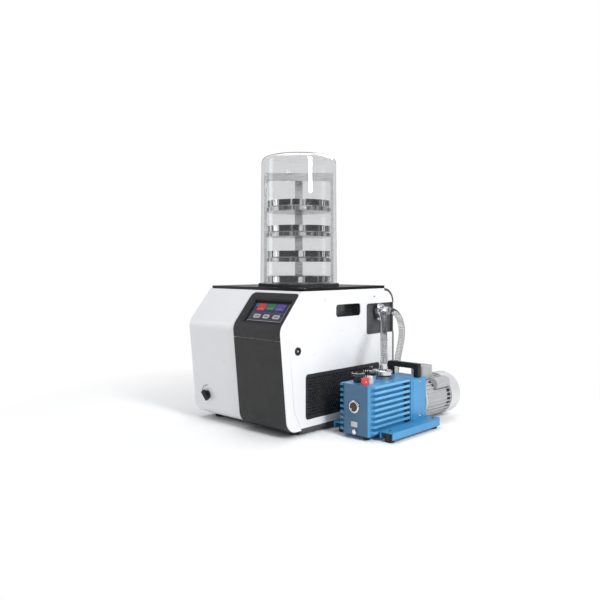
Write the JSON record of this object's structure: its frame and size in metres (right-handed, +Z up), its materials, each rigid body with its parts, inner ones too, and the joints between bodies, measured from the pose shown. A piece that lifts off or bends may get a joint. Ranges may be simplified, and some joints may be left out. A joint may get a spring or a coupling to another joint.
{
  "type": "bench-top freeze dryer with vacuum pump",
  "caption": "Bench freeze dryer: cabinet with cold trap and touch screen, clear bell jar over a tray rack, and a rotary-vane vacuum pump joined by a clear hose, with a second hose as a vent",
  "frame": {"origin": "bench surface under the middle of the whole machine's bounding box", "axes": "+Z up, front (screen) faces -Y, pump stands on the +X side"},
  "size_m": [0.585, 0.5705, 0.7595],
  "materials": {
    "white_shell": "satin white powder coat",
    "dark_fascia": "satin charcoal moulding",
    "black_gloss": "polished black plate",
    "black_plastic": "fine-grained black plastic",
    "pocket_grey": "dark grey moulding",
    "screen": "glossy display",
    "grille_black": "black perforated sheet",
    "rear_metal": "dark grey powder coat",
    "stainless": "brushed stainless steel",
    "polished_steel": "polished steel",
    "clear_acrylic": "clear cast acrylic",
    "rubber": "matt black rubber",
    "copper": "drawn copper tube",
    "foam": "foamed insulation",
    "compressor_black": "black enamel",
    "aluminium": "bare aluminium",
    "board": "green circuit board",
    "clear_hose": "clear reinforced hose",
    "drain_tube": "clear tube",
    "brass": "turned brass",
    "pump_blue": "blue hammered enamel",
    "cast_grey": "machined cast iron",
    "sight_glass": "thick glass in a steel ring",
    "red_plastic": "red plug",
    "motor_silver": "silver-painted aluminium"
  },
  "bodies": {
    "machine": {"base_pan": "rear_metal", "bell_jar": "clear_acrylic", "cabinet_feet": "rubber", "capacitor_box": "motor_silver", "carry_handle": "black_plastic", "case_screws": "polished_steel", "cold_trap": "stainless", "compressor": "compressor_black", "condenser": "aluminium", "control_board": "board", "drain_line": "drain_tube", "drain_plug": "polished_steel", "drain_valve": "brass", "evaporator_coil": "copper", "exhaust_cap": "black_plastic", "fan_cowl": "motor_silver", "fan_frame": "black_plastic", "filler_plug": "red_plastic", "front_cover": "white_shell", "handle_cups": "black_plastic", "inlet_neck": "polished_steel", "jar_gasket": "rubber", "junction_box": "motor_silver", "left_panel": "white_shell", "lower_fascia": "dark_fascia", "motor_housing": "motor_silver", "oil_tank": "pump_blue", "pocket_liner": "pocket_grey", "port_tee": "polished_steel", "power_inlet": "black_plastic", "probe_socket": "black_plastic", "pump_feet": "rubber", "pump_frame": "pump_blue", "pump_module": "cast_grey", "rear_panel": "rear_metal", "refrigerant_lines": "copper", "right_panel": "white_shell", "screen_bezel": "black_plastic", "side_grilles": "grille_black", "sight_glass": "sight_glass", "top_plate": "black_gloss", "touch_screen": "screen", "trap_insulation": "foam", "tray_1": "stainless", "tray_2": "stainless", "tray_3": "stainless", "tray_4": "stainless", "tray_rack": "stainless", "upper_fascia": "dark_fascia", "vacuum_clamps": "polished_steel", "vacuum_duct": "stainless", "vacuum_hose": "clear_hose", "vent_hose": "clear_hose"},
    "drain_turn": {"drain_knob": "black_plastic"},
    "switch_rocker": {"power_switch": "black_plastic"},
    "condenser_fan": {"fan_blade": "black_plastic"},
    "drive_shaft": {"pump_rotor": "stainless", "motor_rotor": "stainless", "motor_fan": "black_plastic"},
    "ballast_turn": {"ballast_knob": "motor_silver"}
  },
  "joints": [
    {"name": "drain_knob_turn", "type": "hinge", "parent": "machine", "child": "drain_turn", "pos_m": [-0.2305, -0.274, 0.0745], "axis": [0, -1, 0], "range_deg": [0, 90]},
    {"name": "power_rocker", "type": "hinge", "parent": "machine", "child": "switch_rocker", "pos_m": [-0.2265, 0.198, 0.0925], "axis": [-1, 0, 0], "range_deg": [0, 20]},
    {"name": "condenser_fan_spin", "type": "hinge", "parent": "machine", "child": "condenser_fan", "pos_m": [-0.0095, -0.033, 0.07002], "axis": [1, 0, 0], "continuous": true},
    {"name": "drive_shaft_spin", "type": "hinge", "parent": "machine", "child": "drive_shaft", "pos_m": [0.1965, -0.044, 0.066], "axis": [0, 1, 0], "continuous": true},
    {"name": "ballast_turn_joint", "type": "hinge", "parent": "machine", "child": "ballast_turn", "pos_m": [0.2065, -0.087, 0.15], "axis": [0, 0, 1], "range_deg": [0, 180]}
  ]
}
